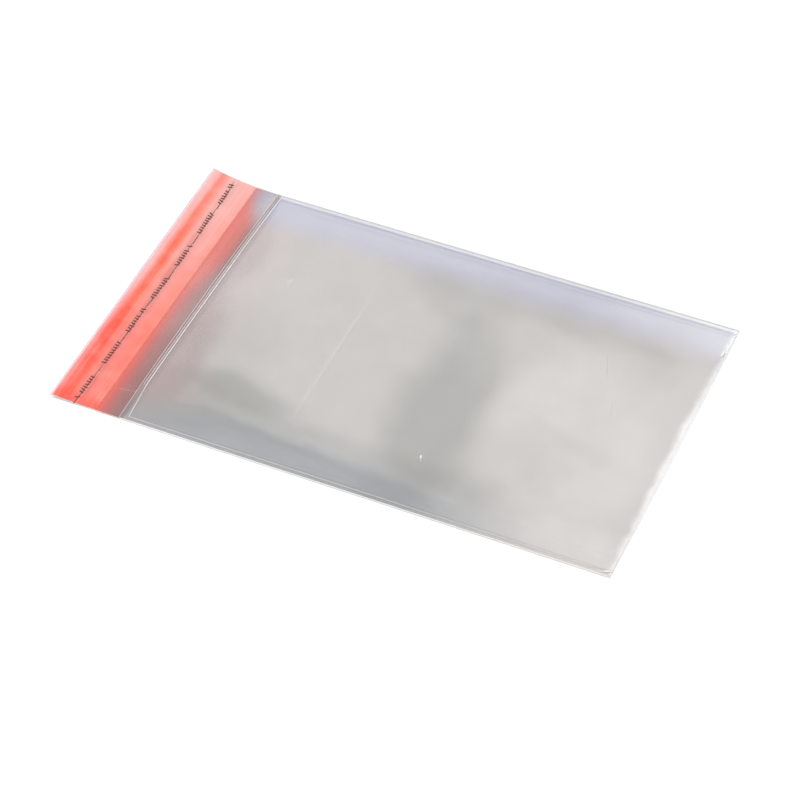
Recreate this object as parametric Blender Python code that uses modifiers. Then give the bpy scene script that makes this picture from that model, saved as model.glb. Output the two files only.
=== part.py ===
"""Clear self-seal postcard sleeve, empty, lying on its back panel with the flap open.

Metres, +Z up. X runs from the flap's tip to the folded end and Y across the sleeve. The origin is
under the middle of the whole sleeve, on the surface that it lies on.

One sheet of film is folded at the far end, and its sides are welded. The back panel runs on past the
front panel's lip as the flap, which carries a line of adhesive under a release liner.
"""
import math

import bmesh
import bpy

# Film and pocket
SLEEVE_WIDTH = 0.110  # over both side welds
POCKET_LENGTH = 0.155  # from the lip of the front panel to the fold
FLAP_LENGTH = 0.023  # back panel past the lip
FILM_THICKNESS = 0.00004
WELD_WIDTH = 0.0008  # fused bead down each long side
WELD_PROUD = 0.0001  # how far the bead stands past the cut film
WELD_SETBACK = 0.0003  # from the lip to the start of the bead
WELD_LAND = 0.0004  # flat film between the bead and the pocket
WELD_SINK = 0.00001  # how deep the bead melts into each panel and into the fold

# Air between the two panels
WELD_AIR = 0.00006  # beside the welds
LIP_AIR = 0.0011  # at the lip, halfway across
FOLD_AIR = 0.0006  # at the fold, halfway across
PUFF = 0.0012  # added halfway down the pocket
RIPPLE = 0.00012  # height of the soft waves in the front panel
RIPPLES_ALONG = 3.5
RIPPLES_ACROSS = 2.5
FLATNESS = 3.0  # higher keeps the pocket's height nearer to its sides

# Flap, which curls up towards its tip
CURL_FRONT = 0.0006  # lift of the tip's corner at -Y
CURL_BACK = 0.0032  # lift of the tip's corner at +Y
CURL_POWER = 2.0

# Seal on the flap
LINER_WIDTH = 0.015
LINER_MARGIN = 0.0008  # bare film between the tip and the liner
LINER_THICKNESS = 0.00005
ADHESIVE_WIDTH = 0.010
ADHESIVE_THICKNESS = 0.00003
END_MARGIN = 0.0004  # the strips stop this far inside the film's cut sides
SEAT_GAP = 0.0002  # between a strip and what it lies on

# How finely the sheets are divided
PANEL_ROWS = 20
FLAP_ROWS = 6
FOLD_ROWS = 6
ACROSS = 16
STRIP_ROWS = 4
CROWDING = 0.7  # 0 spaces the columns evenly, and 1 crowds them most towards the sides

TIP = -FLAP_LENGTH
MIDDLE = (POCKET_LENGTH - FLAP_LENGTH) / 2  # of the whole sleeve, from the lip
FILM_EDGE = SLEEVE_WIDTH / 2 - WELD_PROUD
POCKET_EDGE = SLEEVE_WIDTH / 2 - WELD_WIDTH - WELD_LAND


def clear_scene():
    for obj in list(bpy.data.objects):
        bpy.data.objects.remove(obj, do_unlink=True)


def collection(name):
    made = bpy.data.collections.new(name)
    bpy.context.scene.collection.children.link(made)
    return made


def plastic(name, colour, roughness, alpha=1.0):
    made = bpy.data.materials.new(name)
    made.use_nodes = True
    shader = made.node_tree.nodes["Principled BSDF"]
    shader.inputs["Base Color"].default_value = (*colour, 1)
    shader.inputs["Roughness"].default_value = roughness
    shader.inputs["Metallic"].default_value = 0
    shader.inputs["Alpha"].default_value = alpha
    return made


def back_height(along, across):
    """Middle of the back panel's film. It lies flat, and curls up past the lip."""
    if along >= 0:
        return FILM_THICKNESS / 2
    share = (across / FILM_EDGE + 1) / 2
    lift = CURL_FRONT + (CURL_BACK - CURL_FRONT) * share
    return FILM_THICKNESS / 2 + lift * (along / TIP) ** CURL_POWER


def air(share, across):
    """Clear height in the pocket at a share of the way from the lip to the fold."""
    side = min(abs(across) / POCKET_EDGE, 1)
    height = LIP_AIR + (FOLD_AIR - LIP_AIR) * share + PUFF * math.sin(math.pi * share)
    wave = math.sin(2 * math.pi * RIPPLES_ALONG * share + RIPPLES_ACROSS * side)
    height += RIPPLE * wave * math.sin(math.pi * share)
    return WELD_AIR + height * (1 - side**FLATNESS)


def film_path(row, across):
    """Place of the film's middle on one row, from the tip, round the fold and back to the lip."""
    radius = (FILM_THICKNESS + air(1, across)) / 2
    bend = POCKET_LENGTH - FILM_THICKNESS / 2 - radius
    if row <= FLAP_ROWS:
        along = TIP * (1 - row / FLAP_ROWS)
        return along, back_height(along, across)
    row -= FLAP_ROWS
    if row <= PANEL_ROWS:
        along = bend * row / PANEL_ROWS
        return along, back_height(along, across)
    row -= PANEL_ROWS
    floor = back_height(bend, across)
    if row < FOLD_ROWS:
        turn = math.pi * row / FOLD_ROWS
        return bend + radius * math.sin(turn), floor + radius * (1 - math.cos(turn))
    share = 1 - (row - FOLD_ROWS) / PANEL_ROWS
    return bend * share, floor + FILM_THICKNESS + air(share, across)


def columns(edge, count):
    """Places across a sheet, closer together towards its sides."""
    start = (1 - CROWDING) / 2
    most = math.cos(math.pi * start)
    return [-edge * math.cos(math.pi * (start + CROWDING * i / count)) / most for i in range(count + 1)]


def sheet(name, rows, places, point, thickness, material, into):
    """A grid bent by point(row, across), given the sheet's thickness."""
    mesh = bpy.data.meshes.new(name)
    bm = bmesh.new()
    bmesh.ops.create_grid(bm, x_segments=rows, y_segments=len(places) - 1, size=1)
    for vert in bm.verts:
        row = round((vert.co.x + 1) / 2 * rows)
        across = places[round((vert.co.y + 1) / 2 * (len(places) - 1))]
        along, height = point(row, across)
        vert.co = (along - MIDDLE, across, height)
    for face in bm.faces:
        face.smooth = True
    bm.to_mesh(mesh)
    bm.free()
    obj = bpy.data.objects.new(name, mesh)
    obj.data.materials.append(material)
    into.objects.link(obj)
    wall = obj.modifiers.new("Thickness", "SOLIDIFY")
    wall.thickness = thickness
    wall.offset = 0
    wall.use_even_offset = True
    return obj


def weld_bead(side, into):
    """The strip of melted film that joins the panels down one side, ready to be joined to them."""
    start = WELD_SETBACK
    end = POCKET_LENGTH - FILM_THICKNESS + WELD_SINK
    low = FILM_THICKNESS - WELD_SINK
    high = FILM_THICKNESS + WELD_AIR + WELD_SINK
    bpy.ops.mesh.primitive_cube_add(size=1)
    bead = bpy.context.active_object
    bead.name = f"weld_{side:+d}"
    bead.scale = (end - start, WELD_WIDTH, high - low)
    bead.location = ((start + end) / 2 - MIDDLE, side * (SLEEVE_WIDTH - WELD_WIDTH) / 2, (low + high) / 2)
    for owner in list(bead.users_collection):
        owner.objects.unlink(bead)
    into.objects.link(bead)
    bead.hide_render = True
    bead.display_type = "WIRE"
    return bead


def sleeve_film(parts, guides):
    inner = columns(POCKET_EDGE, ACROSS)
    places = [-FILM_EDGE, *inner, FILM_EDGE]
    rows = FLAP_ROWS + PANEL_ROWS + FOLD_ROWS + PANEL_ROWS
    clear = plastic("Clear polypropylene film", (0.62, 0.62, 0.63), 0.12, 0.35)
    film = sheet("sleeve_film", rows, places, film_path, FILM_THICKNESS, clear, parts)
    for side in (-1, 1):
        join = film.modifiers.new("Side weld", "BOOLEAN")
        join.operation = "UNION"
        join.solver = "EXACT"
        join.object = weld_bead(side, guides)
    return film


def flap_strip(name, width, thickness, below, material, into):
    """A strip along the flap, centred where the liner is. below is the height under it on the film."""
    centre = TIP + LINER_MARGIN + LINER_WIDTH / 2
    edge = FILM_EDGE - END_MARGIN

    def point(row, across):
        along = centre + width * (row / STRIP_ROWS - 0.5)
        return along, back_height(along, across) + below + thickness / 2

    return sheet(name, STRIP_ROWS, columns(edge, ACROSS), point, thickness, material, into)


def build():
    clear_scene()
    parts = collection("postcard_sleeve")
    guides = collection("guides")
    sleeve_film(parts, guides)
    on_film = FILM_THICKNESS / 2 + SEAT_GAP
    glue = plastic("Acrylic pressure-sensitive adhesive", (0.78, 0.72, 0.62), 0.35, 0.5)
    flap_strip("adhesive_strip", ADHESIVE_WIDTH, ADHESIVE_THICKNESS, on_film, glue, parts)
    on_adhesive = on_film + ADHESIVE_THICKNESS + SEAT_GAP
    coral = plastic("Coral release liner", (0.90, 0.25, 0.19), 0.25, 0.75)
    flap_strip("release_liner", LINER_WIDTH, LINER_THICKNESS, on_adhesive, coral, parts)


build()
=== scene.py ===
"""Looks of a clear self-seal postcard sleeve, dressed over its CAD solids.

Metres, +Z up. X runs from the flap's tip to the folded end and Y across the sleeve, as in the CAD.
Every piece is first laid out flat, and then follows one rule for the film's shape.
"""
import math

import bpy
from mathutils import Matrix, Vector


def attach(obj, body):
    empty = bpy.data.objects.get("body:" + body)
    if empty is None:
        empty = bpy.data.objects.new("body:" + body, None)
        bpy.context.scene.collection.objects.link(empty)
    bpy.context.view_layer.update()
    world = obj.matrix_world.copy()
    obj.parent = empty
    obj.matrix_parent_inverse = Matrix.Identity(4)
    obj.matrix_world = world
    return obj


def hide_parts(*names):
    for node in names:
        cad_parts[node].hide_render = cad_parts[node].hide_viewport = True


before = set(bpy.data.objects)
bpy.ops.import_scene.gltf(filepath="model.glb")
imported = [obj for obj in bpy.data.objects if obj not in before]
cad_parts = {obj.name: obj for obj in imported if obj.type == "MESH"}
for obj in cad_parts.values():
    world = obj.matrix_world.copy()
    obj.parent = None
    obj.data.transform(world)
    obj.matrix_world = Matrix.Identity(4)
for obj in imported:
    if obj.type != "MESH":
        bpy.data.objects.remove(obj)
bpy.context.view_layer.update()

# Film and pocket, as in the CAD
SLEEVE_WIDTH = 0.110
POCKET_LENGTH = 0.155
FLAP_LENGTH = 0.023
FILM_THICKNESS = 0.00004
WELD_WIDTH = 0.0008
WELD_PROUD = 0.0001
WELD_LAND = 0.0004
MIDDLE = (POCKET_LENGTH - FLAP_LENGTH) / 2
FILM_EDGE = SLEEVE_WIDTH / 2 - WELD_PROUD
POCKET_EDGE = SLEEVE_WIDTH / 2 - WELD_WIDTH - WELD_LAND

# Seal on the flap, as in the CAD
LINER_WIDTH = 0.015
LINER_MARGIN = 0.0008
LINER_THICKNESS = 0.00005
ADHESIVE_WIDTH = 0.010
ADHESIVE_THICKNESS = 0.00003
END_MARGIN = 0.0004
SEAT_GAP = 0.00001  # the strips lie on each other, closer than the CAD's working gap
LINER_MIDDLE = LINER_MARGIN + LINER_WIDTH / 2 - FLAP_LENGTH
STRIP_EDGE = FILM_EDGE - END_MARGIN
ADHESIVE_LIFT = (FILM_THICKNESS + ADHESIVE_THICKNESS) / 2 + SEAT_GAP
LINER_LIFT = ADHESIVE_LIFT + (ADHESIVE_THICKNESS + LINER_THICKNESS) / 2 + SEAT_GAP
ADHESIVE_WOBBLE = 0.0003  # how far the strips' edges stray
LINER_WOBBLE = 0.0002
INK_THICKNESS = 0.00001
INK_LIFT = LINER_LIFT + LINER_THICKNESS / 2 + INK_THICKNESS

# The sizes that shape the film. Each tree takes them as inputs by these names.
FILM_SIZES = {
    "Pocket length": POCKET_LENGTH,
    "Flap length": FLAP_LENGTH,
    "Film thickness": FILM_THICKNESS,
    "Film edge": FILM_EDGE,
    "Pocket edge": POCKET_EDGE,
    "Weld air": 0.00006,
    "Lip air": 0.0011,
    "Fold air": 0.0006,
    "Puff": 0.0012,
    "Flatness": 3.0,
    "Curl front": 0.0006,
    "Curl back": 0.0032,
    "Wave height": 0.00035,
    "Wave length": 0.030,
    "Flap wave height": 0.0006,
    "Flap wave length": 0.022,
}

CURL_POWER = 2.0
FRONT_TURN = 0.999  # only the front panel is turned further than this
SHARP_ANGLE = 50  # degrees between two faces, from which the edge between them is sharp
MM = 1000.0  # in a metre

MATH = "ShaderNodeMath"
VECTOR = "ShaderNodeVectorMath"


def colour(code):
    """An sRGB hex colour as linear light, opaque."""
    parts = [int(code[i:i + 2], 16) / 255 for i in (1, 3, 5)]
    linear = [c / 12.92 if c <= 0.04045 else ((c + 0.055) / 1.055) ** 2.4 for c in parts]
    return (*linear, 1.0)


def add(tree, kind, inputs=(), **settings):
    """Adds one node. inputs are values, or the sockets or nodes that feed it, in order or by name."""
    node = tree.nodes.new(kind)
    for name, value in settings.items():
        setattr(node, name, value)
    given = inputs.items() if isinstance(inputs, dict) else enumerate(inputs)
    for key, value in given:
        open_sockets = [s for s in node.inputs if s.enabled and s.name == key]
        socket = open_sockets[0] if open_sockets else node.inputs[key]
        if isinstance(value, bpy.types.Node):
            value = next(s for s in value.outputs if s.enabled)
        if isinstance(value, bpy.types.NodeSocket):
            tree.links.new(value, socket)
        else:
            socket.default_value = value
    return node


# Shapes


def new_tree(name, sizes, output="NodeSocketGeometry"):
    """A geometry tree with one output and a named input for each size. Gives its sockets by name too."""
    tree = bpy.data.node_groups.new(name, "GeometryNodeTree")
    tree.interface.new_socket("Result", in_out="OUTPUT", socket_type=output)
    for label, value in sizes.items():
        kind = "NodeSocketInt" if isinstance(value, int) else "NodeSocketFloat"
        tree.interface.new_socket(label, in_out="INPUT", socket_type=kind).default_value = value
    return tree, {s.name: s for s in add(tree, "NodeGroupInput").outputs if s.name}


def film_rule():
    """The film's shape: turns a place on the flat film into its place in the air.

    Along runs from the lip to the fold, and is below 0 on the flap. Turn is 0 on the flap and the
    back panel, 1 on the front panel and between them round the fold. Lift is up from mid-film.
    """
    tree, size = new_tree(
        "Place on the film",
        {"Along": 0.0, "Across": 0.0, "Turn": 0.0, "Lift": 0.0, **FILM_SIZES},
        "NodeSocketVector",
    )
    along, across, turn = size["Along"], size["Across"], size["Turn"]
    # The pocket is fullest halfway across, and flat beside its welds
    off_middle = add(tree, MATH, (across,), operation="ABSOLUTE")
    side = add(tree, MATH, (off_middle, size["Pocket edge"]), operation="DIVIDE", use_clamp=True)
    pinch = add(tree, MATH, (side, size["Flatness"]), operation="POWER")
    crown = add(tree, MATH, (1.0, pinch), operation="SUBTRACT")
    fold_gap = add(tree, MATH, (size["Fold air"], crown, size["Weld air"]), operation="MULTIPLY_ADD")
    fold_height = add(tree, MATH, (fold_gap, size["Film thickness"]), operation="ADD")
    radius = add(tree, MATH, (fold_height, 0.5), operation="MULTIPLY")
    half_film = add(tree, MATH, (size["Film thickness"], 0.5), operation="MULTIPLY")
    flat_length = add(tree, MATH, (size["Pocket length"], half_film), operation="SUBTRACT")
    bend = add(tree, MATH, (flat_length, radius), operation="SUBTRACT")
    share = add(tree, MATH, (along, bend), operation="DIVIDE", use_clamp=True)
    # Air between the panels
    half_turn = add(tree, MATH, (share, math.pi), operation="MULTIPLY")
    hump = add(tree, MATH, (half_turn,), operation="SINE")
    layout = add(tree, "ShaderNodeCombineXYZ", (along, across, 0.0))
    wave_count = add(tree, MATH, (1.0, size["Wave length"]), operation="DIVIDE")
    noise = add(tree, "ShaderNodeTexNoise", {"Vector": layout, "Scale": wave_count, "Detail": 1.5})
    wave = add(tree, MATH, (noise, 0.5), operation="SUBTRACT")
    lift_by_wave = add(tree, MATH, (wave, size["Wave height"], size["Puff"]), operation="MULTIPLY_ADD")
    swell = add(tree, MATH, (lift_by_wave, hump), operation="MULTIPLY")
    taper = add(tree, MATH, (size["Fold air"], size["Lip air"]), operation="SUBTRACT")
    straight = add(tree, MATH, (taper, share, size["Lip air"]), operation="MULTIPLY_ADD")
    height = add(tree, MATH, (straight, swell), operation="ADD")
    gap = add(tree, MATH, (height, crown, size["Weld air"]), operation="MULTIPLY_ADD")
    extra = add(tree, MATH, (gap, fold_gap), operation="SUBTRACT")
    is_front = add(tree, MATH, (turn, FRONT_TURN), operation="GREATER_THAN")
    above_fold = add(tree, MATH, (extra, is_front), operation="MULTIPLY")
    # The turn round the fold
    angle = add(tree, MATH, (turn, math.pi), operation="MULTIPLY")
    sine = add(tree, MATH, (angle,), operation="SINE")
    cosine = add(tree, MATH, (angle,), operation="COSINE")
    rise = add(tree, MATH, (1.0, cosine), operation="SUBTRACT")
    reach = add(tree, MATH, (sine, radius), operation="MULTIPLY")
    turned_height = add(tree, MATH, (rise, radius, half_film), operation="MULTIPLY_ADD")
    # The flap curls up towards its tip, and more at the back
    out = add(tree, MATH, (along, size["Flap length"]), operation="DIVIDE")
    towards_tip = add(tree, MATH, (out, -1.0), operation="MULTIPLY", use_clamp=True)
    curve = add(tree, MATH, (towards_tip, CURL_POWER), operation="POWER")
    edges = add(tree, MATH, (across, size["Film edge"]), operation="DIVIDE")
    towards_back = add(tree, MATH, (edges, 0.5, 0.5), operation="MULTIPLY_ADD")
    more = add(tree, MATH, (size["Curl back"], size["Curl front"]), operation="SUBTRACT")
    tip_lift = add(tree, MATH, (more, towards_back, size["Curl front"]), operation="MULTIPLY_ADD")
    flap_count = add(tree, MATH, (1.0, size["Flap wave length"]), operation="DIVIDE")
    flap_noise = add(
        tree, "ShaderNodeTexNoise", {"W": across, "Scale": flap_count, "Detail": 1.0}, noise_dimensions="1D"
    )
    sway = add(tree, MATH, (flap_noise, 0.5), operation="SUBTRACT")
    flap_wave = add(tree, MATH, (sway, size["Flap wave height"], tip_lift), operation="MULTIPLY_ADD")
    curl = add(tree, MATH, (flap_wave, curve), operation="MULTIPLY")
    # All together
    along_film = add(tree, MATH, (along, bend), operation="MINIMUM")
    reached = add(tree, MATH, (along_film, reach), operation="ADD")
    middle = add(tree, MATH, (size["Pocket length"], size["Flap length"]), operation="SUBTRACT")
    x = add(tree, MATH, (middle, -0.5, reached), operation="MULTIPLY_ADD")
    on_panel = add(tree, MATH, (turned_height, above_fold), operation="ADD")
    on_film = add(tree, MATH, (on_panel, curl), operation="ADD")
    z = add(tree, MATH, (on_film, size["Lift"]), operation="ADD")
    place = add(tree, "ShaderNodeCombineXYZ", (x, across, z))
    add(tree, "NodeGroupOutput", (place,))


def rule_node(tree, size, layout):
    """The film's rule as one node, fed with the film's sizes and the places laid out flat."""
    inputs = {label: size[label] for label in FILM_SIZES}
    group = bpy.data.node_groups["Place on the film"]
    return add(tree, "GeometryNodeGroup", {**inputs, **layout}, node_tree=group)


def finish_tree(tree, geometry, material):
    """Ends a tree with smooth faces, real geometry and its material."""
    smooth = add(tree, "GeometryNodeSetShadeSmooth", (geometry,))
    real = add(tree, "GeometryNodeRealizeInstances", (smooth,))
    coated = add(tree, "GeometryNodeSetMaterial", {"Geometry": real, "Material": material})
    add(tree, "NodeGroupOutput", (coated,))


def wrapped(tree, size, geometry, layout, material):
    """Puts geometry that was laid out flat where the film's rule says."""
    rule = rule_node(tree, size, layout)
    placed = add(tree, "GeometryNodeSetPosition", {"Geometry": geometry, "Position": rule})
    finish_tree(tree, placed, material)


def grown(name, tree, sizes, thickness=0.0):
    """The plain mesh that a tree makes with these sizes, as a new object."""
    seed = bpy.data.objects.new(name + "_seed", bpy.data.meshes.new(name + "_seed"))
    bpy.context.scene.collection.objects.link(seed)
    maker = seed.modifiers.new("Shape", "NODES")
    maker.node_group = tree
    for item in tree.interface.items_tree:
        if item.in_out == "INPUT":
            maker[item.identifier] = sizes[item.name]
    if thickness:
        wall = seed.modifiers.new("Thickness", "SOLIDIFY")
        wall.thickness = thickness
        wall.offset = 0
        wall.use_even_offset = True
    ready = seed.evaluated_get(bpy.context.evaluated_depsgraph_get())
    mesh = bpy.data.meshes.new_from_object(ready)
    mesh.name = name
    bpy.data.objects.remove(seed, do_unlink=True)
    mesh.set_sharp_from_angle(angle=math.radians(SHARP_ANGLE))
    piece = bpy.data.objects.new(name, mesh)
    bpy.context.scene.collection.objects.link(piece)
    return piece


def film_sheet(material):
    """The film, from the flap's tip along the back panel, round the fold and back to the lip."""
    own = {"Flap rows": 36, "Panel rows": 150, "Fold rows": 14, "Columns": 104, "Crowding": 0.8}
    sizes = {**FILM_SIZES, **own}
    tree, size = new_tree("Film sheet", sizes)
    both_panels = add(tree, MATH, (size["Panel rows"], 2.0, size["Fold rows"]), operation="MULTIPLY_ADD")
    rows = add(tree, MATH, (both_panels, size["Flap rows"]), operation="ADD")
    row_points = add(tree, MATH, (rows, 1.0), operation="ADD")
    column_points = add(tree, MATH, (size["Columns"], 1.0), operation="ADD")
    grid = add(
        tree, "GeometryNodeMeshGrid",
        {"Size X": rows, "Size Y": 2.0, "Vertices X": row_points, "Vertices Y": column_points},
    )
    flat = add(tree, "ShaderNodeSeparateXYZ", (add(tree, "GeometryNodeInputPosition"),))
    row = add(tree, MATH, (rows, 0.5, flat.outputs["X"]), operation="MULTIPLY_ADD")
    # The row runs over the flap, the back panel, the fold and the front panel in turn
    past_flap = add(tree, MATH, (row, size["Flap rows"]), operation="SUBTRACT")
    past_back = add(tree, MATH, (past_flap, size["Panel rows"]), operation="SUBTRACT")
    past_fold = add(tree, MATH, (past_back, size["Fold rows"]), operation="SUBTRACT")
    flap = add(tree, MATH, (row, size["Flap rows"]), operation="DIVIDE", use_clamp=True)
    back = add(tree, MATH, (past_flap, size["Panel rows"]), operation="DIVIDE", use_clamp=True)
    turn = add(tree, MATH, (past_back, size["Fold rows"]), operation="DIVIDE", use_clamp=True)
    front = add(tree, MATH, (past_fold, size["Panel rows"]), operation="DIVIDE", use_clamp=True)
    panel = add(tree, MATH, (back, front), operation="SUBTRACT")
    from_lip = add(tree, MATH, (flap, 1.0), operation="SUBTRACT")
    on_flap = add(tree, MATH, (from_lip, size["Flap length"]), operation="MULTIPLY")
    # The rule stops the panels where the fold's bend starts
    along = add(tree, MATH, (panel, size["Pocket length"], on_flap), operation="MULTIPLY_ADD")
    # Columns lie closer together towards the welds
    ease = add(tree, MATH, (flat.outputs["Y"], size["Crowding"]), operation="MULTIPLY")
    quarter = add(tree, MATH, (ease, math.pi / 2), operation="MULTIPLY")
    bowed = add(tree, MATH, (quarter,), operation="SINE")
    whole = add(tree, MATH, (size["Crowding"], math.pi / 2), operation="MULTIPLY")
    most = add(tree, MATH, (whole,), operation="SINE")
    column = add(tree, MATH, (bowed, most), operation="DIVIDE")
    across = add(tree, MATH, (column, size["Film edge"]), operation="MULTIPLY")
    wrapped(tree, size, grid, {"Along": along, "Across": across, "Turn": turn}, material)
    return grown("film_sheet", tree, sizes, FILM_THICKNESS)


def flap_strip(name, width, thickness, lift, wobble, material):
    """A strip that lies along the flap, centred where the liner is. Wobble is how far its edges stray."""
    own = {"Width": width, "Centre": LINER_MIDDLE, "Edge": STRIP_EDGE, "Lift": lift, "Wobble": wobble}
    sizes = {**FILM_SIZES, **own, "Wobbles a metre": 60.0, "Rows": 24, "Columns": 220}
    tree, size = new_tree("Strip for " + name, sizes)
    grid = add(
        tree, "GeometryNodeMeshGrid",
        {"Size X": 1.0, "Size Y": 2.0, "Vertices X": size["Rows"], "Vertices Y": size["Columns"]},
    )
    flat = add(tree, "ShaderNodeSeparateXYZ", (add(tree, "GeometryNodeInputPosition"),))
    across = add(tree, MATH, (flat.outputs["Y"], size["Edge"]), operation="MULTIPLY")
    # A slit edge is never quite straight
    noise = add(
        tree, "ShaderNodeTexNoise", {"W": across, "Scale": size["Wobbles a metre"], "Detail": 2.0},
        noise_dimensions="1D",
    )
    stray = add(tree, MATH, (noise, 0.5), operation="SUBTRACT")
    shift = add(tree, MATH, (stray, size["Wobble"], size["Centre"]), operation="MULTIPLY_ADD")
    along = add(tree, MATH, (flat.outputs["X"], size["Width"], shift), operation="MULTIPLY_ADD")
    wrapped(tree, size, grid, {"Along": along, "Across": across, "Lift": size["Lift"]}, material)
    return grown(name, tree, sizes, thickness)


OUTER = SLEEVE_WIDTH / 2 - 0.0003  # the beads' middle, from the middle of the sleeve
INNER = OUTER - 0.0016  # a fine line beside each weld
SETBACK = 0.0003  # from the lip to the start of the beads
BEAD_END = POCKET_LENGTH - 0.0001
INNER_END = POCKET_LENGTH - 0.005
TIP_LINE = 0.0001 - FLAP_LENGTH
LIP_CREASE = 0.0016  # from the lip to its crease
SPLAY = 0.0026  # the same at the front end
KINK = -0.040  # where the crease starts to leave the lip
# Lines of melted, cut or creased film: ends along and across, turn, half width and half height
FILM_LINES = (
    ("front weld", (SETBACK, -OUTER), (BEAD_END, -OUTER), 1.0, 0.00022, 0.00008),
    ("back weld", (SETBACK, OUTER), (BEAD_END, OUTER), 1.0, 0.00022, 0.00008),
    ("front inner line", (SPLAY, -INNER), (INNER_END, -INNER), 1.0, 0.00007, 0.00003),
    ("back inner line", (LIP_CREASE, INNER), (INNER_END, INNER), 1.0, 0.00007, 0.00003),
    ("lip", (0.0, -OUTER), (0.0, OUTER), 1.0, 0.00006, 0.00004),
    ("lip crease", (LIP_CREASE, KINK), (LIP_CREASE, INNER), 1.0, 0.00012, 0.00004),
    ("lip crease at the front", (SPLAY, -INNER), (LIP_CREASE, KINK), 1.0, 0.00009, 0.00004),
    ("fine line in the hem", (LIP_CREASE / 2, KINK), (LIP_CREASE / 2, INNER), 1.0, 0.00004, 0.00003),
    ("fold", (POCKET_LENGTH, -OUTER), (POCKET_LENGTH, OUTER), 0.5, 0.00012, 0.00007),
    ("flap tip", (TIP_LINE, -OUTER), (TIP_LINE, OUTER), 0.0, 0.00008, 0.00004),
    ("flap front side", (TIP_LINE, -OUTER), (0.0, -OUTER), 0.0, 0.00010, 0.00004),
    ("flap back side", (TIP_LINE, OUTER), (0.0, OUTER), 0.0, 0.00010, 0.00004),
)


def film_lines(material):
    """Beads down the welds, and the fine pale lines where the film is cut, creased or folded: their paleness
    is partly a painted highlight.
    """
    sizes = {**FILM_SIZES, "Step": 0.0015, "Sides": 8}
    tree, size = new_tree("Film lines", sizes)
    every = add(tree, "GeometryNodeJoinGeometry")
    for name, start, end, turn, half_width, half_height in FILM_LINES:
        line = add(tree, "GeometryNodeCurvePrimitiveLine", {"Start": (*start, turn), "End": (*end, turn)})
        points = add(
            tree, "GeometryNodeResampleCurve", {"Curve": line, "Length": size["Step"]}, mode="LENGTH"
        )
        points.label = name
        flat = add(tree, "ShaderNodeSeparateXYZ", (add(tree, "GeometryNodeInputPosition"),))
        layout = {"Along": flat.outputs["X"], "Across": flat.outputs["Y"], "Turn": flat.outputs["Z"]}
        rule = rule_node(tree, size, layout)
        placed = add(tree, "GeometryNodeSetPosition", {"Geometry": points, "Position": rule})
        level = add(tree, "GeometryNodeSetCurveNormal", {"Curve": placed}, mode="Z_UP")
        ring = add(tree, "GeometryNodeCurvePrimitiveCircle", {"Resolution": size["Sides"], "Radius": 1.0})
        oval = add(
            tree, "GeometryNodeTransform", {"Geometry": ring, "Scale": (half_width, half_height, 1.0)}
        )
        swept = add(
            tree, "GeometryNodeCurveToMesh", {"Curve": level, "Profile Curve": oval, "Fill Caps": True}
        )
        tree.links.new(swept.outputs[0], every.inputs[0])
    finish_tree(tree, every, material)
    return grown("film_edges", tree, sizes)


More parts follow.
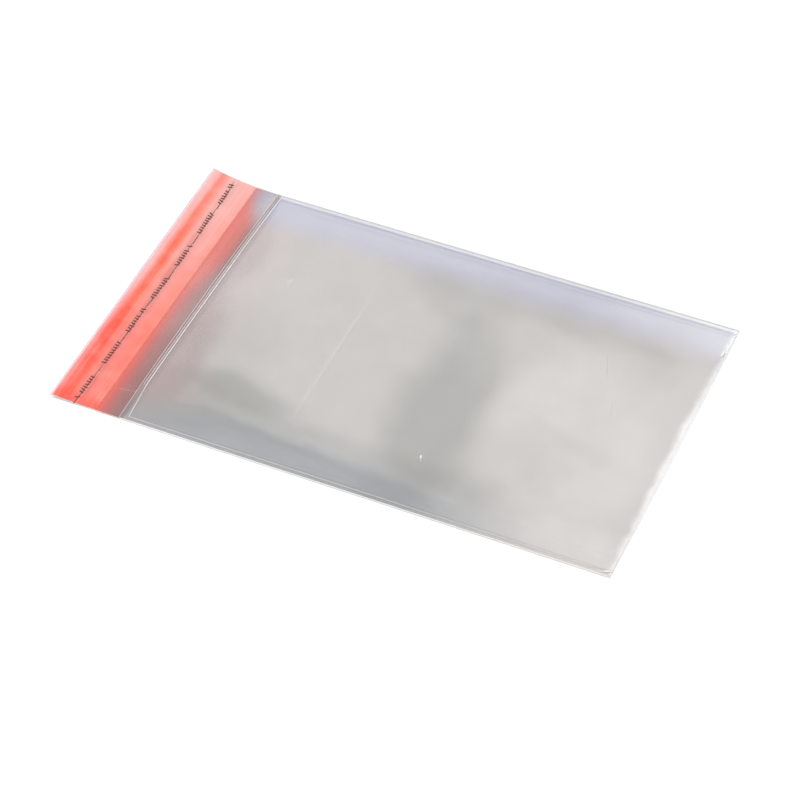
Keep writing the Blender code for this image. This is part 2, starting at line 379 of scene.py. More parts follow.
def liner_print(material):
    """A running line of small plain marks: clusters of upright ticks, and a long uneven dash."""
    own = {
        "Edge": STRIP_EDGE, "Centre": LINER_MIDDLE, "Lift": INK_LIFT, "Thickness": INK_THICKNESS,
        "Seed": 7, "Period": 0.0158, "Cluster": 0.66, "Shift": 0.0054, "Pitch": 0.00115, "Ticks kept": 0.94,
        "Tick height": 0.0017, "Tick breadth": 0.00050, "Least height": 0.75, "Most lean": 0.40,
        "Dash offset": 0.00035, "Dash breadth": 0.00032, "Thinnest": 0.35,
        "Bow": 0.0006, "Bow reach": 0.041, "Stray": 0.0009, "Stray length": 0.030,
    }
    sizes = {**FILM_SIZES, **own}
    tree, size = new_tree("Liner print", sizes)
    span = add(tree, MATH, (size["Edge"], 2.0), operation="MULTIPLY")
    count = add(tree, MATH, (span, size["Pitch"]), operation="DIVIDE")
    first = add(tree, MATH, (size["Edge"], -1.0), operation="MULTIPLY")
    start = add(tree, "ShaderNodeCombineXYZ", (size["Centre"], first, 0.0))
    step = add(tree, "ShaderNodeCombineXYZ", (0.0, size["Pitch"], 0.0))
    line = add(tree, "GeometryNodeMeshLine", {"Count": count, "Start Location": start, "Offset": step})
    flat = add(tree, "ShaderNodeSeparateXYZ", (add(tree, "GeometryNodeInputPosition"),))
    shifted = add(tree, MATH, (flat.outputs["Y"], size["Shift"]), operation="ADD")
    turns = add(tree, MATH, (shifted, size["Period"]), operation="DIVIDE")
    phase = add(tree, MATH, (turns, 1.0), operation="FLOORED_MODULO")
    in_cluster = add(tree, MATH, (phase, size["Cluster"]), operation="LESS_THAN")
    # The ticks differ in height and lean, and a few are missing
    kept = add(
        tree, "FunctionNodeRandomValue", {"Probability": size["Ticks kept"], "Seed": size["Seed"]},
        data_type="BOOLEAN",
    )
    chosen = add(tree, MATH, (in_cluster, kept), operation="MULTIPLY")
    second_seed = add(tree, MATH, (size["Seed"], 1.0), operation="ADD")
    share = add(
        tree, "FunctionNodeRandomValue", {"Min": size["Least height"], "Max": 1.0, "Seed": second_seed},
        data_type="FLOAT",
    )
    third_seed = add(tree, MATH, (size["Seed"], 2.0), operation="ADD")
    other_way = add(tree, MATH, (size["Most lean"], -1.0), operation="MULTIPLY")
    lean = add(
        tree, "FunctionNodeRandomValue", {"Min": other_way, "Max": size["Most lean"], "Seed": third_seed},
        data_type="FLOAT",
    )
    tick_size = add(
        tree, "ShaderNodeCombineXYZ", (size["Tick height"], size["Tick breadth"], size["Thickness"])
    )
    tick = add(tree, "GeometryNodeMeshCube", {"Size": tick_size, "Vertices X": 4})
    ticks = add(
        tree, "GeometryNodeInstanceOnPoints",
        {"Points": line, "Selection": chosen, "Instance": tick,
         "Rotation": add(tree, "ShaderNodeCombineXYZ", (0.0, 0.0, lean)),
         "Scale": add(tree, "ShaderNodeCombineXYZ", (share, 1.0, 1.0))},
    )
    # The dash runs on through the clusters, thicker and thinner by turns, off their middle
    thin = add(tree, MATH, (size["Thickness"], 2.0), operation="DIVIDE")
    dash_size = add(tree, "ShaderNodeCombineXYZ", (size["Dash breadth"], size["Pitch"], thin))
    dash = add(tree, "GeometryNodeMeshCube", {"Size": dash_size})
    aside = add(tree, "ShaderNodeCombineXYZ", (size["Dash offset"], 0.0, 0.0))
    beside = add(tree, "GeometryNodeTransform", {"Geometry": dash, "Translation": aside})
    fourth_seed = add(tree, MATH, (size["Seed"], 3.0), operation="ADD")
    swell = add(
        tree, "FunctionNodeRandomValue", {"Min": size["Thinnest"], "Max": 1.0, "Seed": fourth_seed},
        data_type="FLOAT",
    )
    dashes = add(
        tree, "GeometryNodeInstanceOnPoints",
        {"Points": line, "Instance": beside, "Scale": add(tree, "ShaderNodeCombineXYZ", (swell, 1.0, 1.0))},
    )
    every = add(tree, "GeometryNodeJoinGeometry")
    for marks in (ticks, dashes):
        tree.links.new(marks.outputs[0], every.inputs[0])
    laid = add(tree, "GeometryNodeRealizeInstances", (every,))
    # The whole line is bowed, and strays a little to either side
    spot = add(tree, "ShaderNodeSeparateXYZ", (add(tree, "GeometryNodeInputPosition"),))
    waves = add(tree, MATH, (1.0, size["Stray length"]), operation="DIVIDE")
    noise = add(
        tree, "ShaderNodeTexNoise", {"W": spot.outputs["Y"], "Scale": waves, "Detail": 1.0},
        noise_dimensions="1D",
    )
    centred = add(tree, MATH, (noise, 0.5), operation="SUBTRACT")
    strayed = add(tree, MATH, (centred, size["Stray"], spot.outputs["X"]), operation="MULTIPLY_ADD")
    way = add(tree, MATH, (spot.outputs["Y"], size["Bow reach"]), operation="DIVIDE")
    squared = add(tree, MATH, (way, way), operation="MULTIPLY")
    left = add(tree, MATH, (1.0, squared), operation="SUBTRACT")
    along = add(tree, MATH, (left, size["Bow"], strayed), operation="MULTIPLY_ADD")
    lift = add(tree, MATH, (spot.outputs["Z"], size["Lift"]), operation="ADD")
    layout = {"Along": along, "Across": spot.outputs["Y"], "Lift": lift}
    wrapped(tree, size, laid, layout, material)
    return grown("liner_print", tree, sizes)


# Materials


def new_material(name):
    """An empty material, with its tree and its output."""
    made = bpy.data.materials.new(name)
    made.use_nodes = True
    made.node_tree.nodes.clear()
    return made, made.node_tree


def millimetres(tree):
    """The piece's own coordinates in millimetres, from the middle of the sleeve."""
    place = add(tree, "ShaderNodeTexCoord").outputs["Object"]
    return add(tree, VECTOR, {"Vector": place, "Scale": MM}, operation="SCALE")


def patch(tree, place, middle, reach, tilt, softness):
    """1 inside an oval of the film, fading to 0 across its soft edge. Sizes in mm, tilt in degrees."""
    outer = 1 + softness
    # From 1 in the oval's middle to 0 at the outer side of its soft edge. It renders quicker than a
    # Mapping node with vector nodes after it.
    ball = add(tree, "ShaderNodeTexGradient", (place,), gradient_type="SPHERICAL")
    mapping = ball.texture_mapping
    mapping.vector_type = "TEXTURE"
    mapping.translation = (*middle, 0.0)
    mapping.rotation = (0.0, 0.0, math.radians(tilt))
    mapping.scale = (outer * reach[0], outer * reach[1], MM)
    return add(
        tree, "ShaderNodeMapRange",
        {"Value": ball.outputs["Fac"], "From Max": 2 * softness / outer},
        interpolation_type="SMOOTHERSTEP",
    )


# Places across the flap in mm, as the materials measure them
LIP_X = -MIDDLE * MM
LINER_INNER_X = (LINER_MIDDLE + LINER_WIDTH / 2 - MIDDLE) * MM
LINER_OUTER_X = (LINER_MIDDLE - LINER_WIDTH / 2 - MIDDLE) * MM
# On the flap the film's coral is a painted glow, as if light from the liner were carried in the film
LINER_FADE = 0.8  # the liner's inner edge goes soft over this much, and the film's coral takes over
CORAL_FROM_X, CORAL_TO_X = LINER_INNER_X - 3.0, LINER_INNER_X - 1.8  # where the film's tint changes

# The film's grey: depths from 0 to about 1, and lengths in mm
BASE_DEPTH = 0.41
WANDER, WANDER_LENGTH = 9.0, 24
SCALLOP, SCALLOP_LENGTH = 3.0, 7
CLOUD, CLOUD_LENGTH = 0.14, 11
FEW_LINES, MANY_LINES = 0.07, 0.20  # strength of the drawn lines halfway across and beside the welds
FEW_LINES_Y, MANY_LINES_Y = 40.0, 50.0
DEPTHS = (-0.20, 1.10)
OPACITIES = (0.01, 0.20)  # of one face of the film at those depths
WARM_DEPTH, GREY_DEPTH = 0.2, 0.75  # where the haze's colour starts and stops to change
LIP_SHADE, LIP_SHADE_REACH = 0.8, 26
LAVENDER_REFLECTION_FROM, LAVENDER_REFLECTION_TO = 35.0, 47.0
HEM_OPACITY = 0.10
TIP_OPACITY = 0.28
FLAP_OPACITIES = (0.60, 0.52)  # beside the liner and by the lip
FLAP_WARMTH = 0.55
MARK_AND_GLINT_WHITENESS = 8.0
FILM_IOR = 1.49
GLOSS_WAVE_LENGTH = 7

# Ovals in the film and the liner, each as its name, middle, reach, tilt, softness and amount. Sizes are
# in mm and the tilt in degrees. The film's ovals are painted reflections and shade: they make its grey
# deeper and darker (above 0) or clearer and lighter (below 0).
PAINTED_FILM_FIELDS = (
    ("swath across the middle", (20.5, -15), (13.5, 40), 2, 0.55, 0.32),
    ("foot of the swath", (36, -42), (15, 8), -6, 0.8, 0.17),
    ("head of the swath", (3, 31), (16, 8), -36, 0.6, 0.12),
    ("clear patch in the swath", (24, 15), (7, 14), 0, 0.8, -0.09),
    ("band below the back edge", (40, 39), (50, 7), -1, 0.7, 0.14),
    ("side by the fold", (85, 0), (10, 58), 0, 0.9, -0.14),
    ("front corner by the fold", (77, -48), (15, 9), 0, 0.8, -0.16),
    ("lavender reflection band", (12, 51), (100, 6), 0, 0.5, -0.03),
    ("band along the front edge", (-24, -50.5), (61, 8), -1, 0.35, 0.46),
    ("lens by the front", (-40, -31), (16, 5.5), -3, 0.7, 0.32),
    ("shade round the lens", (-46, -37), (26, 10), 0, 0.9, 0.22),
    ("shade between the lens and the front", (-16, -40), (44, 5), 0, 0.9, 0.18),
    ("front corner by the lip", (-53, -45), (13, 9), 0, 0.8, 0.14),
    ("shade by the lip", (-62, -22), (8, 25), 0, 0.7, 0.42),
    ("shade by the back of the lip", (-63, 27), (5, 17), 0, 0.8, 0.17),
    ("shade past the lip", (-48, -15), (12, 17), 0, 0.9, 0.11),
    ("clear field by the fold", (57, -9), (25, 38), 6, 0.4, -0.20),
    ("shade in the clear field", (48, -27), (13, 17), 0, 0.9, 0.12),
    ("darker streak by the fold", (66, -12), (15, 3), -12, 1.0, 0.06),
    ("back corner by the fold", (76, 47), (24, 9), 0, 0.7, -0.22),
)
FILM_BORDERS_AND_FOLD_HIGHLIGHT = (
    ("pale band beside the back weld", (12, 54.0), (110, 0.9), 0, 0.4, -0.34),
    ("line beside the pale band", (12, 52.4), (110, 0.35), 0, 0.8, 0.24),
    ("second line", (22, 50.6), (90, 0.3), 0.4, 0.8, 0.13),
    ("line beside the front weld", (12, -52.6), (110, 0.35), 0, 0.8, 0.16),
    # A painted highlight along the fold: the film is made much clearer, so paler, in its last millimetres
    ("painted highlight in the last millimetres by the fold", (90, 0), (2.3, 70), 0, 0.75, -0.60),
)
# Pale marks: a crease across the sleeve, specks and scuffs, and glints at the fold's corners, which are
# painted highlights
FILM_MARKS_AND_GLINTS = (
    ("crease", (-18.5, -6.0), (0.22, 32), 0, 0.8, 0.05),
    ("speck by the middle", (22.5, -34.5), (0.22, 0.7), 20, 0.6, 0.24),
    ("speck high", (11.5, 15.2), (0.3, 0.3), 0, 0.6, 0.16),
    ("speck low", (11.0, -8.0), (0.3, 0.25), 0, 0.6, 0.14),
    ("scuff by the lip", (-44.6, 17.8), (0.18, 1.3), -28, 0.7, 0.12),
    ("scuff by the fold", (66.0, 6.5), (0.15, 2.2), 14, 0.7, 0.06),
    ("long scuff", (58.0, 24.0), (0.13, 5.0), 20, 0.7, 0.04),
    ("low scuff", (40.0, -38.0), (0.13, 3.2), -32, 0.7, 0.05),
    # Painted highlights where the fold's corners would catch the light
    ("glint at the back corner", (88.0, 42.8), (0.22, 1.1), -4, 0.6, 0.85),
    ("glint at the front corner", (87.6, -53.0), (0.8, 0.22), 24, 0.6, 0.75),
)
# Painted coral glow of the bare flap, as if light from the liner were carried in the film, from the liner's
# edge to the lip, as the share of the way and the colour
FLAP_GLOW_STOPS = ((0.0, "#E85440"), (0.2, "#CC5048"), (0.5, "#A85A56"), (0.8, "#945554"), (1.0, "#8B5656"))
# These make the bare flap's tint stronger (above 0) or weaker (below 0)
FLAP_FIELDS = (
    ("front end", (-69, -47), (9, 13), 0, 0.6, 0.10),
    ("middle", (-69.5, 0), (7, 17), 0, 0.6, -0.11),
    ("back part", (-73, 32), (2.5, 26), 0, 0.6, -0.08),
    ("back end by the lip", (-66, 46), (5, 10), 0, 0.5, -0.12),
    # Painted reflections: two paler streaks across the flap by its front end
    ("painted reflection streak by the front end", (-70.5, -43.4), (4.5, 0.45), 9, 0.8, -0.14),
    ("second painted reflection streak", (-71.0, -41.2), (3.5, 0.35), 5, 0.8, -0.08),
)


def layered(tree, place, fields, start=0.0):
    """Adds ovals up, each times its amount."""
    total = start
    for name, middle, reach, tilt, softness, amount in fields:
        oval = patch(tree, place, middle, reach, tilt, softness)
        total = add(tree, MATH, (oval, amount, total), operation="MULTIPLY_ADD", label=name)
    return total


def coloured(ramp, stops):
    """Sets a colour ramp's stops, each a place from 0 to 1 and a hex colour."""
    for position, code in stops[1:-1]:
        ramp.elements.new(position).color = colour(code)
    ramp.elements[0].color = colour(stops[0][1])
    ramp.elements[-1].color = colour(stops[-1][1])


def film_depth(tree, place, xyz):
    """How deep the film's grey is, from 0 to about 1: soft fields of painted reflections and shade, with
    borders that wander a little.
    """
    drift = add(tree, "ShaderNodeTexNoise", {"Vector": place, "Scale": 1 / WANDER_LENGTH, "Detail": 2.0})
    centred = add(tree, VECTOR, (drift.outputs["Color"], (0.5, 0.5, 0.5)), operation="SUBTRACT")
    spread = add(tree, VECTOR, {"Vector": centred, "Scale": WANDER}, operation="SCALE")
    wandering = add(tree, VECTOR, (place, spread), operation="ADD")
    # Painted reflections and shade: lighter and darker fields in the film's grey
    fields = layered(tree, wandering, PAINTED_FILM_FIELDS, BASE_DEPTH)
    # The borders and the painted highlight by the fold keep straight but for a small scallop
    nick = add(tree, "ShaderNodeTexNoise", {"Vector": place, "Scale": 1 / SCALLOP_LENGTH, "Detail": 2.0})
    cut = add(tree, MATH, (nick, 0.5), operation="SUBTRACT")
    only_x = add(tree, VECTOR, {"Vector": (SCALLOP, 0.0, 0.0), "Scale": cut}, operation="SCALE")
    scalloped = add(tree, VECTOR, (place, only_x), operation="ADD")
    depth = layered(tree, scalloped, FILM_BORDERS_AND_FOLD_HIGHLIGHT, fields)
    cloud = add(tree, "ShaderNodeTexNoise", {"Vector": place, "Scale": 1 / CLOUD_LENGTH, "Detail": 3.0})
    mottled = add(tree, MATH, (cloud, CLOUD, depth), operation="MULTIPLY_ADD")
    # Lines drawn in the film, stronger than real so that they show, and strongest beside the welds
    off_middle = add(tree, MATH, (xyz.outputs["Y"],), operation="ABSOLUTE")
    strength = add(
        tree, "ShaderNodeMapRange",
        {"Value": off_middle, "From Min": FEW_LINES_Y, "From Max": MANY_LINES_Y, "To Min": FEW_LINES,
         "To Max": MANY_LINES},
    )
    drawn = add(tree, VECTOR, (place, (0.012, 0.9, 1.0)), operation="MULTIPLY")
    lines = add(tree, "ShaderNodeTexNoise", {"Vector": drawn, "Scale": 1.0, "Detail": 2.0})
    about = add(tree, MATH, (lines, 0.5), operation="SUBTRACT")
    return add(tree, MATH, (about, strength, mottled), operation="MULTIPLY_ADD")


def film_tint(tree, place, xyz, depth):
    """Colour of the film's haze: warm where it is clear, a painted mauve shade by the lip, and painted
    bluish reflections, blue-grey along the front edge and lavender along the back edge.
    """
    grey = add(
        tree, "ShaderNodeMapRange", {"Value": depth, "From Min": WARM_DEPTH, "From Max": GREY_DEPTH}
    )
    tint = add(
        tree, "ShaderNodeMix",
        {"Factor": grey, "A": colour("#987E6E"), "B": colour("#7F7C73")}, data_type="RGBA",
    )
    by_lip = add(
        tree, "ShaderNodeMapRange",
        {"Value": xyz.outputs["X"], "From Min": LIP_X, "From Max": LIP_X + LIP_SHADE_REACH,
         "To Min": LIP_SHADE, "To Max": 0.0},
        interpolation_type="SMOOTHSTEP",
    )
    # Painted reflections: blue-grey along the front edge and lavender along the back edge
    front_edge_reflection = patch(tree, place, (-10, -53), (62, 12), 0, 0.6)
    lavender = add(
        tree, "ShaderNodeMapRange",
        {"Value": xyz.outputs["Y"], "From Min": LAVENDER_REFLECTION_FROM, "From Max": LAVENDER_REFLECTION_TO},
        interpolation_type="SMOOTHSTEP",
    )
    # The hem between the lip and its crease, and the flap's tip beyond the liner, whose pink tint is a
    # painted glow
    hem = patch(tree, place, (LIP_X, 0), (LIP_CREASE * MM, 90), 0, 0.15)
    at_tip = add(tree, MATH, (xyz.outputs["X"], LINER_OUTER_X), operation="LESS_THAN")
    tints = (
        (by_lip, "#9C6866"), (front_edge_reflection, "#72747C"), (lavender, "#7E7CB0"), (hem, "#8A6A6C"),
        (at_tip, "#B87F98"),
    )
    for share, code in tints:
        tint = add(tree, "ShaderNodeMix", {"Factor": share, "A": tint, "B": colour(code)}, data_type="RGBA")
    return tint, hem, at_tip


def flap_film(tree, place, xyz):
    """Tint and haze of the bare flap: a painted coral glow beside the liner, as if light from the liner,
    fading to mauve by the lip, and lilac at the back end.
    """
    across = {"Value": xyz.outputs["X"], "From Min": LINER_INNER_X, "From Max": LIP_X}
    beside = add(tree, "ShaderNodeMapRange", across)
    coral_glow = add(tree, "ShaderNodeValToRGB", (beside,))
    coloured(coral_glow.color_ramp, FLAP_GLOW_STOPS)
    # Deeper coral at the back end, more of the painted glow
    warm_end = patch(tree, place, (-72, 30), (4.5, 24), 0, 0.5)
    warmer = add(tree, MATH, (warm_end, FLAP_WARMTH), operation="MULTIPLY")
    tint = add(
        tree, "ShaderNodeMix", {"Factor": warmer, "A": coral_glow, "B": colour("#F0604C")}, data_type="RGBA"
    )
    lilac_end = patch(tree, place, (-63, 52), (9, 13), 20, 0.5)
    cooled = add(
        tree, "ShaderNodeMix", {"Factor": lilac_end, "A": tint, "B": colour("#ACA6B4")}, data_type="RGBA"
    )
    opacities = {"To Min": FLAP_OPACITIES[0], "To Max": FLAP_OPACITIES[1]}
    even = add(tree, "ShaderNodeMapRange", {**across, **opacities})
    return cooled, layered(tree, place, FLAP_FIELDS, even)


def film_material():
    """Clear oriented polypropylene film, cast, stretched and slit.

    It gives the eye a glassy gloss, a faint grey haze with painted reflections and shade in soft fields,
    hair-fine lines along the way it was drawn, painted glints at the fold's corners, and on the flap near
    the liner a painted coral glow, as if light from the liner were carried in the film.
    """
    made, tree = new_material("Clear polypropylene film")
    place = millimetres(tree)
    xyz = add(tree, "ShaderNodeSeparateXYZ", (place,))
    depth = film_depth(tree, place, xyz)
    haze = add(
        tree, "ShaderNodeMapRange",
        {"Value": depth, "From Min": DEPTHS[0], "From Max": DEPTHS[1], "To Min": OPACITIES[0],
         "To Max": OPACITIES[1]},
    )
    panel_tint, hem, at_tip = film_tint(tree, place, xyz, depth)
    hemmed = add(tree, MATH, (hem, HEM_OPACITY, haze), operation="MULTIPLY_ADD")
    panel_haze = add(
        tree, "ShaderNodeMix", {"Factor": at_tip, "A": hemmed, "B": TIP_OPACITY}, data_type="FLOAT"
    )
    painted_flap_glow, flap_haze = flap_film(tree, place, xyz)
    on_flap = add(tree, MATH, (xyz.outputs["X"], LIP_X), operation="LESS_THAN")
    past_liner = add(
        tree, "ShaderNodeMapRange",
        {"Value": xyz.outputs["X"], "From Min": LINER_INNER_X - LINER_FADE + 0.1,
         "From Max": LINER_INNER_X - 0.1},
    )
    bare_flap = add(tree, MATH, (on_flap, past_liner), operation="MULTIPLY")
    # The painted coral glow takes over under the liner, where the haze is still thin
    under_liner = add(
        tree, "ShaderNodeMapRange",
        {"Value": xyz.outputs["X"], "From Min": CORAL_FROM_X, "From Max": CORAL_TO_X},
    )
    tinted_flap = add(tree, MATH, (on_flap, under_liner), operation="MULTIPLY")
    flat_tint = add(
        tree, "ShaderNodeMix", {"Factor": tinted_flap, "A": panel_tint, "B": painted_flap_glow}, data_type="RGBA"
    )
    flat_haze = add(
        tree, "ShaderNodeMix", {"Factor": bare_flap, "A": panel_haze, "B": flap_haze}, data_type="FLOAT"
    )
    # Marks, and glints that are painted highlights, make the film more solid and whiter
    marks = layered(tree, place, FILM_MARKS_AND_GLINTS)
    solidity = add(tree, MATH, (flat_haze, marks), operation="ADD", use_clamp=True)
    whiteness = add(tree, MATH, (marks, MARK_AND_GLINT_WHITENESS), operation="MULTIPLY", use_clamp=True)
    body = add(
        tree, "ShaderNodeMix", {"Factor": whiteness, "A": flat_tint, "B": colour("#FFFFFF")},
        data_type="RGBA",
    )
    # Slow waves in the gloss, as pulled film has
    ripple = add(
        tree, "ShaderNodeTexNoise", {"Vector": place, "Scale": 1 / GLOSS_WAVE_LENGTH, "Detail": 2.0}
    )
    bump = add(tree, "ShaderNodeBump", {"Height": ripple, "Strength": 0.10, "Distance": 0.001})
    clear = add(tree, "ShaderNodeBsdfTransparent")
    solid = add(
        tree, "ShaderNodeBsdfPrincipled",
        {"Base Color": body, "Roughness": 0.45, "IOR": FILM_IOR, "Normal": bump},
    )
    sheen = add(
        tree, "ShaderNodeBsdfGlossy", {"Color": colour("#FFFFFF"), "Roughness": 0.08, "Normal": bump}
    )
    # Only the faces that light enters by mirror. On the others the straight ray would all be turned back.
    fresnel = add(tree, "ShaderNodeFresnel", {"IOR": FILM_IOR, "Normal": bump})
    inside = add(tree, "ShaderNodeNewGeometry").outputs["Backfacing"]
    outside = add(tree, MATH, (1.0, inside), operation="SUBTRACT")
    mirror = add(tree, MATH, (fresnel, outside), operation="MULTIPLY")
    hazed = add(tree, "ShaderNodeMixShader", (solidity, clear, solid))
    glossed = add(tree, "ShaderNodeMixShader", (mirror, hazed, sheen))
    add(tree, "ShaderNodeOutputMaterial", {"Surface": glossed})
    return made


def edge_material():
    """Polypropylene film where it is melted, cut or creased: milky white, partly its own colour and partly a
    painted highlight, with a soft gloss.
    """
    made, tree = new_material("Melted polypropylene edge with painted highlight")
    place = millimetres(tree)
    drawn = add(tree, VECTOR, (place, (0.6, 0.6, 1.0)), operation="MULTIPLY")
    patches = add(tree, "ShaderNodeTexNoise", {"Vector": drawn, "Scale": 1.0, "Detail": 3.0})
    milky = add(
        tree, "ShaderNodeMix",
        {"Factor": patches, "A": colour("#FFFDFA"), "B": colour("#D8D4D2")}, data_type="RGBA",
    )
    solid = add(tree, "ShaderNodeBsdfPrincipled", {"Base Color": milky, "Roughness": 0.25, "IOR": FILM_IOR})
    add(tree, "ShaderNodeOutputMaterial", {"Surface": solid})
    return made


# Opacity of one face of the adhesive and of the liner, and of the liner's inner edge
ADHESIVE_BODY = 0.25
LINER_BODY = 0.72
LINER_END_BODY = 0.05


def adhesive_material():
    """Clear acrylic pressure-sensitive adhesive, coated wet.

    It gives the eye a faint salmon tone, as it lies between the film and the coral liner, and long
    coating ripples.
    """
    made, tree = new_material("Acrylic pressure-sensitive adhesive")
    place = millimetres(tree)
    drawn = add(tree, VECTOR, (place, (1.4, 0.05, 1.0)), operation="MULTIPLY")
    coat = add(tree, "ShaderNodeTexNoise", {"Vector": drawn, "Scale": 1.0, "Detail": 3.0})
    tone = add(
        tree, "ShaderNodeMix", {"Factor": coat, "A": colour("#F5A58E"), "B": colour("#FFC7B4")},
        data_type="RGBA",
    )
    bump = add(tree, "ShaderNodeBump", {"Height": coat, "Strength": 0.3, "Distance": 0.0002})
    solid = add(
        tree, "ShaderNodeBsdfPrincipled",
        {"Base Color": tone, "Roughness": 0.35, "IOR": 1.47, "Normal": bump},
    )
    clear = add(tree, "ShaderNodeBsdfTransparent")
    mixed = add(tree, "ShaderNodeMixShader", (ADHESIVE_BODY, clear, solid))
    add(tree, "ShaderNodeOutputMaterial", {"Surface": mixed})
    return made


# Colour of the liner across its width, from the flap's tip to the lip. The pale pink by the tip and the
# orange streak are partly painted highlight and shade where the flap curls, and the darker stops at 0.48
# and 0.55 are a painted shadow beside the print
LINER_STOPS_WITH_PAINTED_SHADE = (
    (0.00, "#FFB2B6"), (0.08, "#FF9A98"), (0.15, "#FF8270"), (0.21, "#FF6A48"), (0.28, "#FF765A"),
    (0.35, "#FF8E7A"), (0.42, "#FF998E"), (0.48, "#EE8A80"), (0.55, "#DC857C"), (0.62, "#F5938A"),
    (0.70, "#FF9A90"), (0.88, "#FF9080"), (0.95, "#FF927E"), (1.00, "#F88E7C"),
)
ZONE_DRIFT, ZONE_DRIFT_LENGTH = 2.0, 26  # how these colours stray to either side, in mm
BLOTCH_LENGTH = 6
# These make the liner deeper
LINER_DEPTHS = (
    ("front part", (-81, -34), (40, 22), 0, 0.7, 0.34),
    ("streak of the front part", (-85.6, -34), (2.2, 26), 0, 0.8, 0.48),
    ("front end", (-81, -56), (40, 5), 0, 0.7, 0.55),
)
# These make it paler
LINER_PALES = (
    ("back part beside the streak", (-78.5, 58), (5.0, 44), 0, 0.7, 0.34),
    ("back part", (-81, 62), (40, 30), 0, 0.8, 0.22),
    ("edge at the back", (-88, 40), (1.6, 60), 0, 0.8, 0.25),
)


def liner_material():
    """Silicone-coated polyester release liner, dyed coral: see-through, with a satin gloss.

    It gives the eye a warm orange streak along the adhesive's edge, partly painted shade, paler coral beside
    it with a painted shadow beside the print, fine lines down its length, long pale streaks of painted
    sheen, and a tone that deepens from the back end to the front.
    """
    made, tree = new_material("Coral release liner")
    place = millimetres(tree)
    xyz = add(tree, "ShaderNodeSeparateXYZ", (place,))
    drift = add(tree, "ShaderNodeTexNoise", {"Vector": place, "Scale": 1 / ZONE_DRIFT_LENGTH, "Detail": 2.0})
    centred = add(tree, MATH, (drift, 0.5), operation="SUBTRACT")
    moved = add(tree, MATH, (centred, ZONE_DRIFT, xyz.outputs["X"]), operation="MULTIPLY_ADD")
    share = add(
        tree, "ShaderNodeMapRange", {"Value": moved, "From Min": LINER_OUTER_X, "From Max": LINER_INNER_X}
    )
    # The colours across the liner hold painted highlight, shade and shadow as well as its dye
    zones = add(tree, "ShaderNodeValToRGB", (share,))
    coloured(zones.color_ramp, LINER_STOPS_WITH_PAINTED_SHADE)
    depth = layered(tree, place, LINER_DEPTHS)
    deep = add(
        tree, "ShaderNodeMix", {"Factor": depth, "A": zones, "B": colour("#FF4420")}, data_type="RGBA"
    )
    # Soft blotches, and long pale streaks as where wound film has taken a set: their paleness is a painted
    # sheen
    cloud = add(tree, "ShaderNodeTexNoise", {"Vector": place, "Scale": 1 / BLOTCH_LENGTH, "Detail": 4.0})
    blotches = add(
        tree, "ShaderNodeMapRange", {"Value": cloud, "From Min": 0.45, "From Max": 0.85, "To Max": 0.25}
    )
    along = add(tree, VECTOR, (place, (0.9, 0.018, 1.0)), operation="MULTIPLY")
    sets = add(tree, "ShaderNodeTexNoise", {"Vector": along, "Scale": 1.0, "Detail": 2.0})
    painted_sheen_streaks = add(
        tree, "ShaderNodeMapRange", {"Value": sets, "From Min": 0.5, "From Max": 0.8, "To Max": 0.28}
    )
    blotched = add(tree, MATH, (blotches, painted_sheen_streaks), operation="ADD")
    paleness = layered(tree, place, LINER_PALES, blotched)
    mottled = add(
        tree, "ShaderNodeMix", {"Factor": paleness, "A": deep, "B": colour("#FFCEC8")}, data_type="RGBA"
    )
    lengthwise = add(tree, VECTOR, (place, (2.2, 0.03, 1.0)), operation="MULTIPLY")
    fine = add(tree, "ShaderNodeTexNoise", {"Vector": lengthwise, "Scale": 1.0, "Detail": 3.0})
    bump = add(tree, "ShaderNodeBump", {"Height": fine, "Strength": 0.25, "Distance": 0.0003})
    solid = add(
        tree, "ShaderNodeBsdfPrincipled",
        {"Base Color": mottled, "Roughness": 0.32, "IOR": 1.57, "Coat Weight": 0.2, "Coat Roughness": 0.12,
         "Normal": bump},
    )
    clear = add(tree, "ShaderNodeBsdfTransparent")
    # The inner edge is drawn out thin, so that it ends softly
    body = add(
        tree, "ShaderNodeMapRange",
        {"Value": xyz.outputs["X"], "From Min": LINER_INNER_X - LINER_FADE, "From Max": LINER_INNER_X,
         "To Min": LINER_BODY, "To Max": LINER_END_BODY},
    )
    mixed = add(tree, "ShaderNodeMixShader", (body, clear, solid))
    add(tree, "ShaderNodeOutputMaterial", {"Surface": mixed})
    return made


def ink_material():
    """Dark brown flexographic ink, printed thin. It gives the eye a matt, uneven dark tone."""
    made, tree = new_material("Brown flexographic ink")
    place = millimetres(tree)
    grain = add(tree, "ShaderNodeTexNoise", {"Vector": place, "Scale": 2.5, "Detail": 2.0})
    tone = add(
        tree, "ShaderNodeMix", {"Factor": grain, "A": colour("#300A08"), "B": colour("#662620")},
        data_type="RGBA",
    )
    solid = add(tree, "ShaderNodeBsdfPrincipled", {"Base Color": tone, "Roughness": 0.6})
    add(tree, "ShaderNodeOutputMaterial", {"Surface": solid})
    return made


FLOOR_GLOW = 0.22
FLOOR_SIZE = 6
FLOOR_DROP = 0.0001  # so that the film's underside and the floor don't fight
SURROUND_LIGHT = 0.62  # the white surround as a light. To the eye it is 1.


def looked_at(tree):
    """1 for what the camera or a reflection sees, and 0 for the light that falls on things."""
    path = add(tree, "ShaderNodeLightPath").outputs
    seen = add(tree, MATH, (path["Is Camera Ray"], path["Is Glossy Ray"]), operation="ADD")
    return add(tree, MATH, (seen, path["Is Transmission Ray"]), operation="ADD", use_clamp=True)


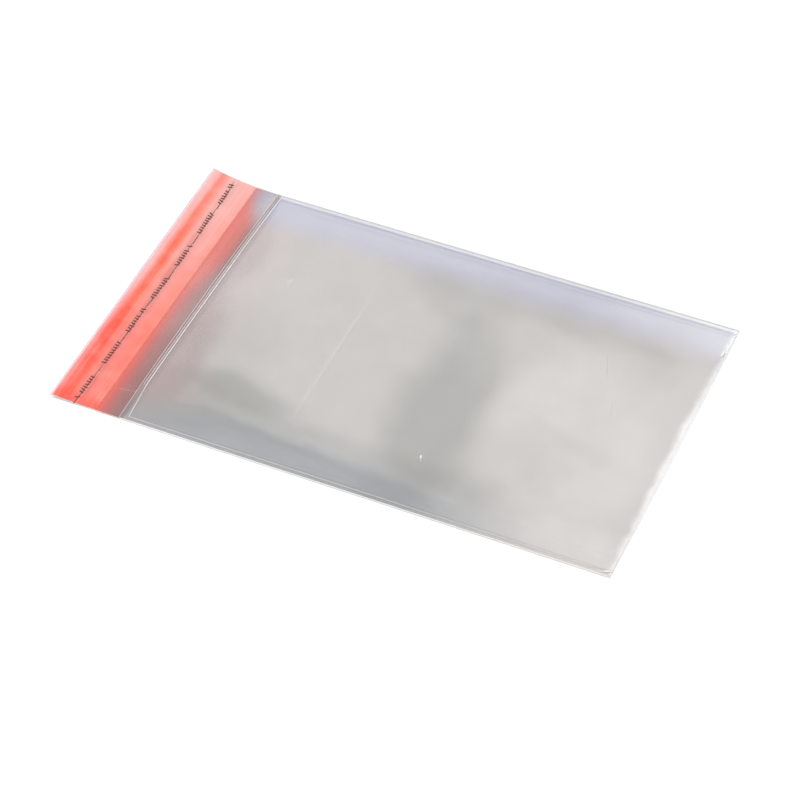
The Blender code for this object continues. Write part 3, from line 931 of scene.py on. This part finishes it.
def floor_material():
    """Plain white card. To the camera and in reflections it reads white, and it keeps its shadows."""
    made, tree = new_material("White card")
    fill = add(tree, MATH, (looked_at(tree), FLOOR_GLOW), operation="MULTIPLY")
    card = add(tree, "ShaderNodeBsdfDiffuse", {"Color": colour("#E7E7E7")})
    glow = add(tree, "ShaderNodeEmission", {"Strength": fill})
    both = add(tree, "ShaderNodeAddShader", (card, glow))
    add(tree, "ShaderNodeOutputMaterial", {"Surface": both})
    return made


# Stage


# Name, place, side and watts. The key stands away from the camera's mirror direction.
LAMPS = (("key", (-1.0, 0.25, 1.2), 0.9, 24.0), ("fill", (0.9, -0.5, 0.9), 0.7, 1.5))
CAMERA_ELEVATION, CAMERA_AZIMUTH = 45.0, 23.9  # degrees
CAMERA_DISTANCE = 0.8904
CAMERA_TARGET = Vector((0.0069, -0.01425, 0.0))
LENS, SENSOR = 135, 36  # mm


def studio():
    """A pale floor, a white surround, one broad soft lamp high at the left, and a weaker one."""
    bpy.ops.mesh.primitive_plane_add(size=FLOOR_SIZE, location=(0, 0, -FLOOR_DROP))
    floor = bpy.context.active_object
    floor.name = "floor"
    floor.data.materials.append(floor_material())
    world = bpy.data.worlds.new("Studio")
    bpy.context.scene.world = world
    world.use_nodes = True
    tree = world.node_tree
    tree.nodes.clear()
    shown = looked_at(tree)
    strength = add(tree, "ShaderNodeMapRange", {"Value": shown, "To Min": SURROUND_LIGHT, "To Max": 1.0})
    add(tree, "ShaderNodeOutputWorld", (add(tree, "ShaderNodeBackground", {"Strength": strength}),))
    for name, place, size, power in LAMPS:
        light = bpy.data.lights.new(name, "AREA")
        light.size = size
        light.energy = power
        lamp = bpy.data.objects.new(name, light)
        lamp.location = place
        lamp.rotation_euler = (-Vector(place)).to_track_quat("-Z", "Y").to_euler()
        bpy.context.scene.collection.objects.link(lamp)


def camera():
    """The photograph's view: a long lens, 45 degrees down, from the front and a little to the right."""
    elevation, azimuth = math.radians(CAMERA_ELEVATION), math.radians(CAMERA_AZIMUTH)
    level = math.cos(elevation)
    back = Vector((math.sin(azimuth) * level, -math.cos(azimuth) * level, math.sin(elevation)))
    data = bpy.data.cameras.new("camera")
    data.lens = LENS
    data.sensor_width = SENSOR
    made = bpy.data.objects.new("camera", data)
    made.location = CAMERA_TARGET + back * CAMERA_DISTANCE
    made.rotation_euler = (-back).to_track_quat("-Z", "Y").to_euler()
    bpy.context.scene.collection.objects.link(made)
    bpy.context.scene.camera = made


def dress():
    """Makes each piece, hangs it on the root and hides the CAD part that it stands for. The finish listed
    beside each piece is not used.
    """
    film_rule()
    pieces = (
        (film_sheet(film_material()), "sleeve_film", "clear_film"),
        (film_lines(edge_material()), "sleeve_film", "clear_film"),
        (flap_strip("adhesive", ADHESIVE_WIDTH, ADHESIVE_THICKNESS, ADHESIVE_LIFT, ADHESIVE_WOBBLE,
                    adhesive_material()),
         "adhesive_strip", "adhesive"),
        (flap_strip("liner", LINER_WIDTH, LINER_THICKNESS, LINER_LIFT, LINER_WOBBLE, liner_material()),
         "release_liner", "liner"),
        (liner_print(ink_material()), "release_liner", "liner"),
    )
    for piece, node, slot in pieces:
        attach(piece, "root")
        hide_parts(node)


camera()
studio()
dress()
bpy.context.scene.view_settings.view_transform = "Standard"
